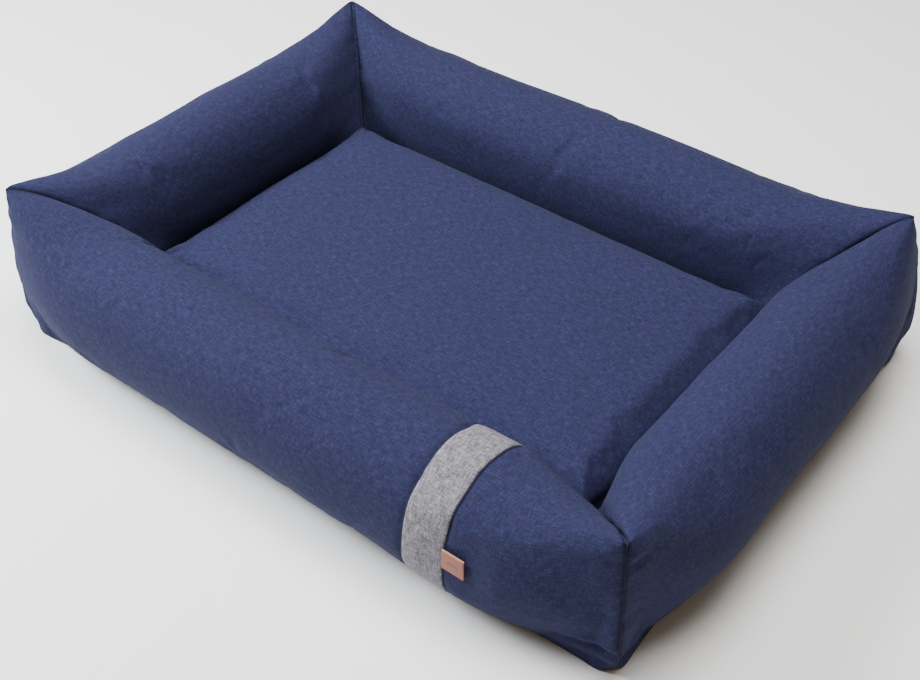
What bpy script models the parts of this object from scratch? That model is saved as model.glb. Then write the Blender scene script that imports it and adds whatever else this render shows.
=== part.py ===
"""Rectangular pet bed: four stuffed bolsters round a lift-out cushion.

Metres, +Z up. The origin is the centre of the underside, with the long sides along X and the
front, which carries the band and the leather tag, at -Y. Every bolster is built in one frame:
x along the bolster, q the inset from the line between its two corner seams, z up. The empty of
its side then turns it into place.
"""

import math

import bmesh
import bpy
from mathutils import Matrix, Vector

# Overall sizes, measured between the corner seams.
BED_LENGTH = 1.000
BED_WIDTH = 0.714

# Section where two bolsters meet: upright on the outside, one rounded slope on the inside.
CORNER_HEIGHT = 0.228
CORNER_DEPTH = 0.140
CORNER_ROUNDNESS = 1.5

# Section along the straight middle: an ellipse that is pressed flat where it stands.
BOLSTER_HALF_DEPTH = 0.081
BOLSTER_HALF_HEIGHT = 0.107
BOLSTER_AXIS_INSET = 0.027
BOLSTER_FLATTENING = 0.012
TAPER_LENGTH = 0.190
TAPER_STEPS = (0.0, 0.25, 0.58, 1.0)

# Angles round the section, in degrees: 0 faces out, 90 is the ridge, 180 faces the cushion.
FOOT_ANGLE = -65.0
TIP_ANGLE = 60.0
TOE_ANGLE = 245.0
OUTER_ANGLES = (FOOT_ANGLE, -42.0, -18.0, 0.0, 18.0, 40.0, TIP_ANGLE)
INNER_ANGLES = (85.0, 110.0, 137.0, 163.0, 188.0)

# Sheets.
BASE_THICKNESS = 0.0020
COVER_THICKNESS = 0.0015
BAG_THICKNESS = 0.0008
PARTITION_THICKNESS = 0.0012
SEAM_PROUD = 0.0008
REST_GAP = 0.0003
CLOTH_GAP = 0.0004
FILLING_GAP = 0.0008

# Band and tag on the front bolster.
BAND_WIDTH = 0.056
BAND_THICKNESS = 0.0008
BAND_SHORT_OF_SEAM = 0.12
BAND_TO_TAPER = 0.004
TAG_LENGTH = 0.031
TAG_HEIGHT = 0.030
TAG_FOLD_RADIUS = 0.0014
TAG_LEATHER = 0.0011
TAG_BASE_HEIGHT = 0.098
TAG_FOLD_POINTS = 7

# Zips. Across is the zip's width; depths count inwards from the cover's outer face.
ZIP_HEIGHT = 0.030
ZIP_PANEL = 0.030
ZIP_SLOT = 0.013
ZIP_END_MARGIN = 0.020
ZIP_RELIEF = 0.0036
CHAIN_WIDTH = 0.0056
CHAIN_THICKNESS = 0.0020
CHAIN_GAP = 0.0003
TAPE_THICKNESS = 0.0006
TAPE_REACH = 0.0115
TAPE_OVERRUN = 0.006

SLIDER_LENGTH = 0.0150
SLIDER_FRONT_WIDTH = 0.0104
SLIDER_TAIL_WIDTH = 0.0076
SLIDER_PLATE = 0.0012
SLIDER_POST = (0.0005, 0.0050)
SLIDER_POST_WIDTH = 0.0028
SLIDER_STOP = 0.0010
BRIDGE_HALF_LENGTH = 0.0040
BRIDGE_BAR = 0.0008
BRIDGE_WIDTH = 0.0018
BRIDGE_HEADROOM = 0.0016

PULL_PIN_RADIUS = 0.0005
PULL_ARM_GAP = 0.0004
PULL_ARM_WIDTH = 0.0013
PULL_PLATE = 0.0010
PULL_LENGTH = 0.0200
PULL_CLEARANCE = 0.0004
PIN_SIDES = 8

# Lift-out cushion: its edge as (inset from the outline, height), from the underside to the crown.
CUSHION_CLEARANCE = 0.005
CUSHION_HEIGHT = 0.103
CUSHION_UNDER_EDGE = ((0.055, 0.0), (0.030, 0.0015))
CUSHION_ZIP_TOP = (0.0015, 0.033)
CUSHION_ZIP_FOOT = (0.0145, 0.0105)
CUSHION_UPPER_EDGE = ((0.0, 0.047), (0.003, 0.062), (0.014, 0.075), (0.038, 0.086), (0.085, 0.094))
CUSHION_CROWN_INSET = 0.165
CUSHION_ZIP_LENGTH = 0.400

# What follows from the sizes above.
FLOOR = BASE_THICKNESS + REST_GAP
SECTION_CENTRE = FLOOR + BOLSTER_HALF_HEIGHT - BOLSTER_FLATTENING
LONG_HALF = BED_LENGTH / 2
SHORT_HALF = BED_WIDTH / 2
MITRE_GAP = PARTITION_THICKNESS / 2 + CLOTH_GAP
BAND_END = LONG_HALF - TAPER_LENGTH - BAND_TO_TAPER
BAND_START = BAND_END - BAND_WIDTH
CHAIN_DEPTH = COVER_THICKNESS + REST_GAP + TAPE_THICKNESS / 2
SLIDER_INSIDE = CHAIN_THICKNESS / 2 + CHAIN_GAP
SLIDER_TOP = SLIDER_INSIDE + SLIDER_PLATE - CHAIN_DEPTH
PIVOT_HEIGHT = SLIDER_TOP + BRIDGE_HEADROOM / 2

# Side name: half its length, the middle of its outer line, and its turn about Z.
SIDES = {
    "front": (LONG_HALF, (0.0, -SHORT_HALF), 0.0),
    "right": (SHORT_HALF, (LONG_HALF, 0.0), math.pi / 2),
    "back": (LONG_HALF, (0.0, SHORT_HALF), math.pi),
    "left": (SHORT_HALF, (-LONG_HALF, 0.0), -math.pi / 2),
}
CORNERS = {
    "front_left": (-1, -1),
    "front_right": (1, -1),
    "back_right": (1, 1),
    "back_left": (-1, 1),
}


# ---------------------------------------------------------------- scene and materials


def clear_scene():
    for obj in list(bpy.data.objects):
        bpy.data.objects.remove(obj)


def material(name, colour, roughness, metallic=0.0):
    made = bpy.data.materials.new(name)
    made.use_nodes = True
    shader = made.node_tree.nodes["Principled BSDF"]
    shader.inputs["Base Color"].default_value = (*colour, 1.0)
    shader.inputs["Roughness"].default_value = roughness
    shader.inputs["Metallic"].default_value = metallic
    return made


def make_materials():
    return {
        "cover": material("navy_canvas", (0.033, 0.048, 0.115), 0.85),
        "base": material("black_grip_cloth", (0.012, 0.012, 0.014), 0.70),
        "bag": material("white_nonwoven", (0.72, 0.72, 0.70), 0.90),
        "fill": material("polyester_fibre", (0.85, 0.85, 0.83), 0.95),
        "band": material("grey_melange", (0.27, 0.26, 0.28), 0.90),
        "tag": material("tan_leather", (0.50, 0.22, 0.13), 0.55),
        "tape": material("zip_tape", (0.018, 0.024, 0.055), 0.80),
        "chain": material("zip_coil", (0.020, 0.026, 0.060), 0.40),
        "slider": material("zip_slider", (0.30, 0.30, 0.32), 0.35, 1.0),
    }


def empty(name, location=(0.0, 0.0, 0.0), turn=0.0, parent=None):
    made = bpy.data.objects.new(name, None)
    bpy.context.scene.collection.objects.link(made)
    made.location = location
    made.rotation_euler = (0.0, 0.0, turn)
    made.parent = parent
    return made


def add_object(name, mesh, finish, parent=None, matrix=None):
    made = bpy.data.objects.new(name, mesh)
    bpy.context.scene.collection.objects.link(made)
    if not mesh.materials:
        mesh.materials.append(finish)
    made.parent = parent
    if matrix is not None:
        made.matrix_local = matrix
    return made


def finish_mesh(name, bm, smooth_angle=None):
    bmesh.ops.recalc_face_normals(bm, faces=bm.faces)
    mesh = bpy.data.meshes.new(name)
    bm.to_mesh(mesh)
    bm.free()
    if smooth_angle is not None:
        mesh.shade_smooth()
        mesh.set_sharp_from_angle(angle=math.radians(smooth_angle))
    return mesh


# ---------------------------------------------------------------- rings and shells


def offset_line(points, distances, closed):
    """Each point moved to the right of the direction of travel, so that each side keeps its distance."""
    count = len(points)

    def side(i, j):
        run = (points[j] - points[i]).normalized()
        return Vector((run.y, -run.x))

    moved = []
    for i, (point, distance) in enumerate(zip(points, distances)):
        before = side(i - 1, i) if closed or i > 0 else side(i, i + 1)
        after = side(i, (i + 1) % count) if closed or i < count - 1 else before
        moved.append(point + (before + after) * (distance / (1 + before.dot(after))))
    return moved


def add_rings(bm, rings):
    return [[bm.verts.new(point) for point in ring] for ring in rings]


def skin(bm, grid, skip=()):
    """Two triangles for each cell between neighbouring rings, mirrored about the middle ring.

    skip holds the (ring, point) cells that stay open.
    """
    count = len(grid[0])
    for i in range(len(grid) - 1):
        for j in range(count):
            if (i, j) in skip:
                continue
            k = (j + 1) % count
            cell = [grid[i][j], grid[i][k], grid[i + 1][k], grid[i + 1][j]]
            if 2 * i >= len(grid) - 1:
                cell = cell[1:] + cell[:1]
            bm.faces.new(cell[:3])
            bm.faces.new((cell[2], cell[3], cell[0]))


def bridge_cell(bm, outer, inner, cell):
    """The wall of a slot that leaves out one cell of both skins."""
    i, j = cell
    k = (j + 1) % len(outer[0])
    rim = [(i, j), (i, k), (i + 1, k), (i + 1, j)]
    for (a, b), (c, d) in zip(rim, rim[1:] + rim[:1]):
        bm.faces.new((outer[a][b], outer[c][d], inner[c][d], inner[a][b]))


def bridge_ends(bm, outer, inner):
    count = len(outer[0])
    for i in (0, -1):
        for j in range(count):
            k = (j + 1) % count
            bm.faces.new((outer[i][j], outer[i][k], inner[i][k], inner[i][j]))


def shell_mesh(name, outer_rings, inner_rings, slot, open_ends):
    """A sheet between two skins, with one slot, and with its ends open or capped."""
    bm = bmesh.new()
    outer = add_rings(bm, outer_rings)
    inner = add_rings(bm, inner_rings)
    for grid in (outer, inner):
        skin(bm, grid, {slot})
        if not open_ends:
            bm.faces.new(grid[0])
            bm.faces.new(grid[-1])
    if open_ends:
        bridge_ends(bm, outer, inner)
    bridge_cell(bm, outer, inner, slot)
    return finish_mesh(name, bm, 50)


def solid_mesh(name, rings):
    bm = bmesh.new()
    grid = add_rings(bm, rings)
    skin(bm, grid)
    bm.faces.new(grid[0])
    bm.faces.new(grid[-1])
    return finish_mesh(name, bm, 50)


def prism(bm, outline, low, high, place):
    """A solid whose outline is drawn in (u, v) and pushed from low to high; place maps (u, v, height)."""
    bottom = [bm.verts.new(place(u, v, low)) for u, v in outline]
    top = [bm.verts.new(place(u, v, high)) for u, v in outline]
    bm.faces.new(bottom)
    bm.faces.new(top)
    skin(bm, [bottom, top])


def prism_mesh(name, outline, low, high, place=lambda u, v, h: (u, v, h)):
    bm = bmesh.new()
    prism(bm, outline, low, high, place)
    return finish_mesh(name, bm)


def rectangle(left, right, bottom, top):
    return [(left, bottom), (right, bottom), (right, top), (left, top)]


# ---------------------------------------------------------------- bolster form


def middle_point(angle):
    """Straight part of the bolster, as (q, z)."""
    turn = math.radians(angle)
    inset = BOLSTER_AXIS_INSET - BOLSTER_HALF_DEPTH * math.cos(turn)
    return Vector((inset, max(FLOOR, SECTION_CENTRE + BOLSTER_HALF_HEIGHT * math.sin(turn))))


def corner_point(angle):
    """Mitred end of the bolster, as (q, z): up the corner seam, then down the inner slope."""
    rise = CORNER_HEIGHT - FLOOR
    if angle <= TIP_ANGLE:
        return Vector((0.0, FLOOR + rise * (angle - FOOT_ANGLE) / (TIP_ANGLE - FOOT_ANGLE)))
    turn = math.radians(90.0 * (TOE_ANGLE - angle) / (TOE_ANGLE - TIP_ANGLE))
    power = 2 / CORNER_ROUNDNESS
    return Vector((CORNER_DEPTH * math.cos(turn) ** power, FLOOR + rise * math.sin(turn) ** power))


def flank_angle(height):
    """Where the flank that faces the cushion reaches this height."""
    return 180 + math.degrees(math.asin((SECTION_CENTRE - height) / BOLSTER_HALF_HEIGHT))


def zip_panel_length():
    upper, lower = (middle_point(a) for a in zip_panel_angles())
    return (upper - lower).length


def zip_panel_angles():
    """The flat strip that carries the zip, from its upper to its lower edge."""
    return flank_angle(ZIP_HEIGHT + ZIP_PANEL / 2), flank_angle(ZIP_HEIGHT - ZIP_PANEL / 2)


def section(point_at):
    """One ring of a section, clockwise from the foot, with the zip's slot in its flat strip."""
    upper, lower = (point_at(a) for a in zip_panel_angles())
    share = ZIP_SLOT / zip_panel_length() / 2
    slot = [upper.lerp(lower, 0.5 - share), upper.lerp(lower, 0.5 + share)]
    round_part = [point_at(a) for a in OUTER_ANGLES + INNER_ANGLES]
    return [*round_part, upper, *slot, lower, point_at(TOE_ANGLE)]


TIP_INDEX = len(OUTER_ANGLES) - 1
PANEL_INDEX = len(OUTER_ANGLES) + len(INNER_ANGLES)
SLOT_INDEX = PANEL_INDEX + 1
RING_COUNT = PANEL_INDEX + 5
MIDDLE_SECTION = section(middle_point)
CORNER_SECTION = section(corner_point)


def blended_section(step):
    """The section a share step of the way from the mitre to the straight part."""
    weight = step * step * (3 - 2 * step)
    return [c.lerp(m, weight) for c, m in zip(CORNER_SECTION, MIDDLE_SECTION)]


def straight_half(half_length):
    return half_length - TAPER_LENGTH


def zip_half(side):
    """Half the length of a bolster's zip. The long zips stop short of the band."""
    room = straight_half(SIDES[side][0]) - ZIP_END_MARGIN
    return room - BAND_WIDTH - BAND_TO_TAPER if side in ("front", "back") else room


def stations(side):
    """(x, step) along one bolster, from its left mitre to its right one."""
    half = SIDES[side][0]
    left = [(-(half - step * TAPER_LENGTH), step) for step in TAPER_STEPS]
    left.append((-zip_half(side), 1.0))
    return left + [(-x, step) for x, step in reversed(left)]


def slot_cell():
    return len(TAPER_STEPS), SLOT_INDEX


def bolster_rings(side, depth=0.0, relief=0.0, end_gap=MITRE_GAP):
    """The bolster's surface at a depth under its cover, as rings of points.

    The rings lean with the mitre towards both ends. relief draws the zip's strip and the toe under
    it further in.
    """
    depths = [depth] * RING_COUNT
    for j in range(PANEL_INDEX, RING_COUNT):
        depths[j] += relief
    rings = []
    for x, step in stations(side):
        ring = offset_line(blended_section(step), depths, closed=True)
        lean = (1 - step) * math.copysign(1, x)
        rings.append([Vector((x - lean * (p.x + end_gap * math.sqrt(2)), p.x, p.y)) for p in ring])
    return rings


def make_bolster(side, finishes, place):
    cover_outer = bolster_rings(side)
    cover_inner = bolster_rings(side, COVER_THICKNESS)
    bag_depth = COVER_THICKNESS + CLOTH_GAP
    bag_outer = bolster_rings(side, bag_depth, ZIP_RELIEF)
    bag_inner = bolster_rings(side, bag_depth + BAG_THICKNESS, ZIP_RELIEF, MITRE_GAP + BAG_THICKNESS)
    skins = BAG_THICKNESS + FILLING_GAP
    fill = bolster_rings(side, bag_depth + skins, ZIP_RELIEF, MITRE_GAP + skins)
    slot = slot_cell()
    cover_mesh = shell_mesh(f"{side}_cover", cover_outer, cover_inner, slot, open_ends=True)
    bag_mesh = shell_mesh(f"{side}_bag", bag_outer, bag_inner, slot, open_ends=False)
    add_object(f"{side}_bolster_cover", cover_mesh, finishes["cover"], place)
    add_object(f"{side}_bolster_inner_bag", bag_mesh, finishes["bag"], place)
    add_object(f"{side}_bolster_filling", solid_mesh(f"{side}_fill", fill), finishes["fill"], place)


# ---------------------------------------------------------------- base and corners


def make_base(finishes):
    """The grip cloth under the bed: its edge is the bolsters' foot line."""
    outline = []
    for side, (_, middle, turn) in SIDES.items():
        spin = Matrix.Rotation(turn, 2)
        for x, step in stations(side)[:-1]:
            inset = blended_section(step)[0].x
            lean = (1 - step) * math.copysign(1, x)
            outline.append(Vector(middle) + spin @ Vector((x - lean * inset, inset)))
    mesh = prism_mesh("base", outline, 0.0, BASE_THICKNESS)
    add_object("base_panel", mesh, finishes["base"])


def make_partition(corner, finishes):
    """The cloth wall between two bolsters, whose rim is the corner seam."""
    x_sign, y_sign = CORNERS[corner]
    diagonal = [Vector((p.x * math.sqrt(2), p.y)) for p in CORNER_SECTION]
    rim = offset_line(diagonal, [-SEAM_PROUD] * RING_COUNT, closed=True)
    outline = [(p.x, max(FLOOR, p.y)) for p in rim]
    half = PARTITION_THICKNESS / 2
    mesh = prism_mesh(f"{corner}_partition", outline, -half, half, lambda u, v, h: (u, -h, v))
    inwards = math.atan2(-y_sign, -x_sign)
    place = empty(f"{corner}_place", (x_sign * LONG_HALF, y_sign * SHORT_HALF, 0.0), inwards)
    add_object(f"{corner}_partition", mesh, finishes["cover"], place)


# ---------------------------------------------------------------- band and tag


def make_band(finishes, place):
    """A ribbon sewn round the front bolster, from its outer foot seam to its inner one."""
    near = offset_line(MIDDLE_SECTION, [-REST_GAP] * RING_COUNT, closed=True)
    far = offset_line(MIDDLE_SECTION, [-REST_GAP - BAND_THICKNESS] * RING_COUNT, closed=True)
    for line in (near, far):
        line[0] = line[0].lerp(line[1], BAND_SHORT_OF_SEAM)
        line[-1] = line[-1].lerp(line[-2], BAND_SHORT_OF_SEAM)
    outline = [(p.x, p.y) for p in near + far[::-1]]
    mesh = prism_mesh("band", outline, BAND_START, BAND_END, lambda u, v, h: (h, u, v))
    add_object("front_band", mesh, finishes["band"], place)


def tag_line(radius, reach):
    """A hairpin in plan, folded round the hinge line at one end and round the free end."""
    steps = range(TAG_FOLD_POINTS)
    turns = [math.pi / 2 + math.pi * s / (TAG_FOLD_POINTS - 1) for s in steps]
    left = [(radius * math.cos(t), radius * math.sin(t)) for t in turns]
    return left + [(reach - u, -v) for u, v in left]


def make_tag(finishes, place):
    """A folded leather tab. It hangs from the band's seam line, which is its hinge."""
    reach = TAG_LENGTH - 2 * TAG_FOLD_RADIUS
    bm = bmesh.new()
    lines = [tag_line(TAG_FOLD_RADIUS, reach), tag_line(TAG_FOLD_RADIUS - TAG_LEATHER, reach)]
    rims = [add_rings(bm, [[(u, v, h) for u, v in line] for h in (0.0, TAG_HEIGHT)]) for line in lines]
    for rim in rims:
        skin(bm, rim)
    for level in (0, 1):
        skin(bm, [rims[0][level], rims[1][level]])
    surface = BOLSTER_AXIS_INSET - BOLSTER_HALF_DEPTH
    hinge = Vector((BAND_END + REST_GAP + TAG_FOLD_RADIUS, surface - CLOTH_GAP - TAG_FOLD_RADIUS, TAG_BASE_HEIGHT))
    mesh = finish_mesh("tag", bm, 40)
    add_object("leather_tag", mesh, finishes["tag"], place, Matrix.Translation(hinge))


# ---------------------------------------------------------------- zips


def frame_matrix(origin, along, across, out):
    """A zip's own frame: x along its chain, y across it, z out of the cover."""
    turned = Matrix((along, across, out)).transposed().to_4x4()
    return Matrix.Translation(origin) @ turned


def bolster_zip_matrix():
    upper, lower = (middle_point(a) for a in zip_panel_angles())
    across = (lower - upper).normalized()
    middle = (upper + lower) / 2
    return frame_matrix((0.0, *middle), (1, 0, 0), (0, *across), (0, -across.y, across.x))


def plate_outline():
    """Half-shield of the slider's plates: wide at the mouth, narrow at the tail."""
    half, front, tail = SLIDER_LENGTH / 2, SLIDER_FRONT_WIDTH / 2, SLIDER_TAIL_WIDTH / 2
    chamfer = SLIDER_PLATE
    right = [(-half, tail - chamfer), (-half + chamfer, tail), (0.0, tail)]
    right += [(half - 2 * chamfer, front), (half, front - 2 * chamfer)]
    return [(u, -v) for u, v in right] + right[::-1]


def joined_mesh(name, build_parts):
    """One closed body from solids that overlap, joined with Boolean unions."""
    objects = []
    for number, build in enumerate(build_parts):
        bm = bmesh.new()
        build(bm)
        piece = bpy.data.objects.new(f"{name}_{number}", finish_mesh(f"{name}_{number}", bm))
        bpy.context.scene.collection.objects.link(piece)
        objects.append(piece)
    for tool in objects[1:]:
        union = objects[0].modifiers.new(tool.name, "BOOLEAN")
        union.operation = "UNION"
        union.solver = "EXACT"
        union.object = tool
    graph = bpy.context.evaluated_depsgraph_get()
    mesh = bpy.data.meshes.new_from_object(objects[0].evaluated_get(graph))
    for piece in objects:
        bpy.data.objects.remove(piece)
    mesh.name = name
    return mesh


def slider_mesh():
    """Two plates on a wedge that parts the teeth, with the bridge that holds the pull."""
    outer_low, outer_high = SLIDER_TOP - SLIDER_PLATE, SLIDER_TOP
    inner_high = -CHAIN_DEPTH - SLIDER_INSIDE
    sunk = SLIDER_PLATE / 3
    post_start, post_end = SLIDER_POST
    post_half = SLIDER_POST_WIDTH / 2
    post_middle = (post_start + post_end) / 2
    wedge = [(post_start, 0.0), (post_middle, -post_half), (post_end, 0.0), (post_middle, post_half)]
    leg_foot, bar_under = outer_high - sunk, outer_high + BRIDGE_HEADROOM
    out, inside = BRIDGE_HALF_LENGTH, BRIDGE_HALF_LENGTH - BRIDGE_BAR
    bar_over = bar_under + BRIDGE_BAR
    shoulder = BRIDGE_BAR
    arch = [(-out, leg_foot), (-out, bar_over - shoulder), (-out + shoulder, bar_over)]
    arch += [(-u, v) for u, v in arch[::-1]]
    arch += [(inside, leg_foot), (inside, bar_under), (-inside, bar_under), (-inside, leg_foot)]

    def flat(u, v, h):
        return u, v, h

    def upright(u, v, h):
        return u, -h, v

    return joined_mesh("slider", [
        lambda bm: prism(bm, plate_outline(), outer_low, outer_high, flat),
        lambda bm: prism(bm, wedge, inner_high - sunk, outer_low + sunk, flat),
        lambda bm: prism(bm, plate_outline(), inner_high - SLIDER_PLATE, inner_high, flat),
        lambda bm: prism(bm, arch, -BRIDGE_WIDTH / 2, BRIDGE_WIDTH / 2, upright),
    ])


def pull_mesh():
    """The pull: a pin under the bridge, two arms past it and a plate. It points along -x."""
    arm_inner = BRIDGE_WIDTH / 2 + PULL_ARM_GAP
    arm_outer = arm_inner + PULL_ARM_WIDTH
    half_plate = PULL_PLATE / 2
    bridge_top = SLIDER_TOP + BRIDGE_HEADROOM + BRIDGE_BAR - PIVOT_HEIGHT
    eye = math.hypot(BRIDGE_HALF_LENGTH, bridge_top) + PULL_CLEARANCE
    tip = arm_outer / 2
    outline = [(0.0, arm_outer), (-PULL_LENGTH + tip, arm_outer), (-PULL_LENGTH, tip)]
    outline += [(u, -v) for u, v in outline[::-1]]
    outline += [(0.0, -arm_inner), (-eye, -arm_inner), (-eye, arm_inner), (0.0, arm_inner)]
    turns = [2 * math.pi * (s + 0.5) / PIN_SIDES for s in range(PIN_SIDES)]
    pin = [(PULL_PIN_RADIUS * math.cos(t), PULL_PIN_RADIUS * math.sin(t)) for t in turns]
    return joined_mesh("pull", [
        lambda bm: prism(bm, outline, -half_plate, half_plate, lambda u, v, h: (u, v, h)),
        lambda bm: prism(bm, pin, -arm_outer, arm_outer, lambda u, v, h: (u, h, v)),
    ])


def make_zip(prefix, half, place, matrix, meshes, finishes):
    """A closed zip: two tapes behind the cover, the chain in its slot, and the slider at +x."""
    rest = half - SLIDER_LENGTH / 2 - SLIDER_STOP
    chain_half = CHAIN_THICKNESS / 2
    tape_edge = CHAIN_WIDTH / 2 + CHAIN_GAP
    reach = half + TAPE_OVERRUN
    tape_low, tape_high = (-CHAIN_DEPTH + s * TAPE_THICKNESS / 2 for s in (-1, 1))
    for name, (low, high) in {"upper": (-TAPE_REACH, -tape_edge), "lower": (tape_edge, TAPE_REACH)}.items():
        tape = prism_mesh(f"{prefix}_{name}_tape", rectangle(-reach, reach, low, high), tape_low, tape_high)
        add_object(f"{prefix}_zip_{name}_tape", tape, finishes["tape"], place, matrix)
    chain_end = rest + SLIDER_POST[0] - CHAIN_GAP
    width = CHAIN_WIDTH / 2
    outline = rectangle(-half + CHAIN_GAP, chain_end, -width, width)
    chain = prism_mesh(f"{prefix}_chain", outline, -CHAIN_DEPTH - chain_half, -CHAIN_DEPTH + chain_half)
    add_object(f"{prefix}_zip_chain", chain, finishes["chain"], place, matrix)
    slider_place = matrix @ Matrix.Translation((rest, 0.0, 0.0))
    add_object(f"{prefix}_zip_slider", meshes["slider"], finishes["slider"], place, slider_place)
    pull_place = slider_place @ Matrix.Translation((0.0, 0.0, PIVOT_HEIGHT))
    add_object(f"{prefix}_zip_pull", meshes["pull"], finishes["slider"], place, pull_place)


# ---------------------------------------------------------------- cushion


def recess_inset(step):
    """The bolster's furthest reach into the bed, above the height where the cushion bellies out."""
    belly = FLOOR + CUSHION_ZIP_TOP[1]
    return max(p.x for p in blended_section(step) if p.y > belly)


def cushion_outline():
    """The widest line of the cushion: the recess less its clearance, turning at the mitres."""
    outline = []
    zip_half_length = CUSHION_ZIP_LENGTH / 2
    for side, (half, middle, turn) in SIDES.items():
        spin = Matrix.Rotation(turn, 2)
        line = [(x, step) for x, step in stations(side)[:-1] if step in (0.0, TAPER_STEPS[2], 1.0)]
        line = [(x, step) for x, step in line if abs(abs(x) - zip_half(side)) > 1e-9]
        if half == LONG_HALF:
            cut = next(i for i, (x, _) in enumerate(line) if x > 0)
            line[cut:cut] = [(-zip_half_length, 1.0), (zip_half_length, 1.0)]
        for x, step in line:
            inset = recess_inset(step) + CUSHION_CLEARANCE
            lean = (1 - step) * math.copysign(1, x)
            outline.append(Vector(middle) + spin @ Vector((x - lean * inset, inset)))
    return outline


def cushion_profile(depth=0.0, relief=0.0):
    """The cushion's edge at a depth under its cover, from the underside to the crown."""
    foot, top = Vector(CUSHION_ZIP_FOOT), Vector(CUSHION_ZIP_TOP)
    share = ZIP_SLOT / (top - foot).length / 2
    panel = [foot, foot.lerp(top, 0.5 - share), foot.lerp(top, 0.5 + share), top]
    line = [Vector(p) for p in CUSHION_UNDER_EDGE] + panel + [Vector(p) for p in CUSHION_UPPER_EDGE]
    line.append(Vector((CUSHION_CROWN_INSET, CUSHION_HEIGHT - FLOOR)))
    first = len(CUSHION_UNDER_EDGE)
    distances = [depth + (relief if first <= i < first + len(panel) else 0.0) for i in range(len(line))]
    moved = offset_line(line, distances, closed=False)
    moved[0].y, moved[-1].y = line[0].y + depth, line[-1].y - depth
    return [(p.x, p.y + FLOOR) for p in moved]


def cushion_rings(outline, depth=0.0, relief=0.0):
    half_x = max(p.x for p in outline)
    half_y = max(p.y for p in outline)
    return [
        [Vector((p.x * (1 - inset / half_x), p.y * (1 - inset / half_y), z)) for p in outline]
        for inset, z in cushion_profile(depth, relief)
    ]


def cushion_slot(outline):
    """The cell of the back edge's zip: its ring, and the point where the zip starts."""
    half = CUSHION_ZIP_LENGTH / 2
    start = next(j for j, p in enumerate(outline) if p.y > 0 and abs(p.x - half) < 1e-6)
    return len(CUSHION_UNDER_EDGE) + 1, start


def make_cushion(finishes, meshes):
    outline = cushion_outline()
    slot = cushion_slot(outline)
    bag_depth = COVER_THICKNESS + CLOTH_GAP
    skins = BAG_THICKNESS + FILLING_GAP
    cover = shell_mesh(
        "cushion_cover", cushion_rings(outline), cushion_rings(outline, COVER_THICKNESS), slot, False
    )
    bag = shell_mesh(
        "cushion_bag",
        cushion_rings(outline, bag_depth, ZIP_RELIEF),
        cushion_rings(outline, bag_depth + BAG_THICKNESS, ZIP_RELIEF),
        slot,
        False,
    )
    fill = solid_mesh("cushion_fill", cushion_rings(outline, bag_depth + skins, ZIP_RELIEF))
    add_object("cushion_cover", cover, finishes["cover"])
    add_object("cushion_inner_bag", bag, finishes["bag"])
    add_object("cushion_filling", fill, finishes["fill"])

    back = outline[slot[1]].y
    foot, top = Vector(CUSHION_ZIP_FOOT), Vector(CUSHION_ZIP_TOP)
    middle = (foot + top) / 2
    across = Vector((0.0, top.x - foot.x, foot.y - top.y)).normalized()
    out = Vector((0.0, -across.z, across.y))
    matrix = frame_matrix((0.0, back - middle.x, middle.y + FLOOR), (1, 0, 0), across, out)
    half = CUSHION_ZIP_LENGTH / 2 * (1 - foot.x / max(p.x for p in outline))
    make_zip("cushion", half - SLIDER_STOP, None, matrix, meshes, finishes)


# ---------------------------------------------------------------- assembly


def main():
    clear_scene()
    finishes = make_materials()
    meshes = {"slider": slider_mesh(), "pull": pull_mesh()}
    make_base(finishes)
    zip_matrix = bolster_zip_matrix()
    for side, (_, (x, y), turn) in SIDES.items():
        place = empty(f"{side}_place", (x, y, 0.0), turn)
        make_bolster(side, finishes, place)
        make_zip(side, zip_half(side), place, zip_matrix, meshes, finishes)
        if side == "front":
            make_band(finishes, place)
            make_tag(finishes, place)
    for corner in CORNERS:
        make_partition(corner, finishes)
    make_cushion(finishes, meshes)
    bpy.context.view_layer.update()


main()
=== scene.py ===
import math
from functools import partial, reduce

import bpy
import numpy as np
from mathutils import Matrix, Vector, noise
from mathutils.bvhtree import BVHTree


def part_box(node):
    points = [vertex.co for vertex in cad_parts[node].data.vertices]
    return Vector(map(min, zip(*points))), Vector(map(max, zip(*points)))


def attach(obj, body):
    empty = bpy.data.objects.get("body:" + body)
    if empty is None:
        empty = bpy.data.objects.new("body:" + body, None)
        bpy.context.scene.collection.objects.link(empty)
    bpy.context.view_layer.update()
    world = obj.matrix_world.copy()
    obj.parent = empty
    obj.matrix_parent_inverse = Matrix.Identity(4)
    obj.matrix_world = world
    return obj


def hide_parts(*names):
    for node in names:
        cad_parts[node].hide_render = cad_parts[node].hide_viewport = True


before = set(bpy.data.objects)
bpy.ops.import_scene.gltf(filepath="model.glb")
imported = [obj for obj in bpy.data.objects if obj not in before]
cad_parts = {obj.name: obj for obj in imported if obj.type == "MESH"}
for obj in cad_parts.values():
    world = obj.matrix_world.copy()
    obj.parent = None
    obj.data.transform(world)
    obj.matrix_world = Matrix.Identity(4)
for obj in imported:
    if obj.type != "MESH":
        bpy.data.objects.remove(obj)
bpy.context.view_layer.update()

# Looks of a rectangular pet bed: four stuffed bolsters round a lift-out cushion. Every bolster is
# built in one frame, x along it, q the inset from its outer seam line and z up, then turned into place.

# ---------------------------------------------------------------- sizes, in metres, as the CAD has them

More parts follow.
